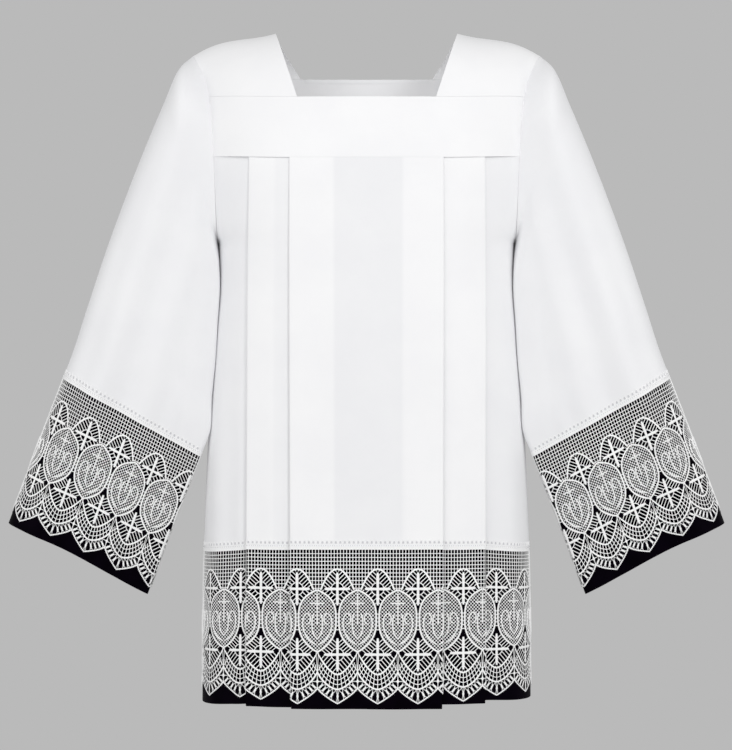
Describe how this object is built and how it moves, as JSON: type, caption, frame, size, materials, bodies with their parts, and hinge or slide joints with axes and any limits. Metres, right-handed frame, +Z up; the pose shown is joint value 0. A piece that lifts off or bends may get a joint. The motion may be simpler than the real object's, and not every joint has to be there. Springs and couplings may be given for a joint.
{
  "type": "surplice",
  "caption": "White square-necked surplice in its worn, hollow form: yoke, knife-pleated body, wide sleeves, lace hem and cuffs over a dark lining.",
  "frame": {"origin": "on the garment's middle plane, level with the tops of the shoulders, where the wearer's shoulders carry it", "axes": "+Z up; the garment's front faces -Y; +X is the viewer's right from the front, towards the sleeve named right; left and right name the viewer's sides"},
  "size_m": [0.9218, 0.2542, 0.8611],
  "materials": {
    "cloth": "white plain-woven cotton blend, pressed, matt",
    "lace": "white cotton thread lace, matt",
    "lining": "near-black purple lining, slight satin sheen"
  },
  "bodies": {
    "root": {"yoke_front": "cloth", "yoke_back": "cloth", "shoulder_left": "cloth", "shoulder_right": "cloth", "body_front": "cloth", "body_back": "cloth", "sleeve_left": "cloth", "sleeve_right": "cloth", "lace_body_front": "lace", "lace_body_back": "lace", "lace_sleeve_left": "lace", "lace_sleeve_right": "lace", "lining_body_front": "lining", "lining_body_back": "lining", "lining_sleeve_left": "lining", "lining_sleeve_right": "lining"}
  },
  "joints": []
}
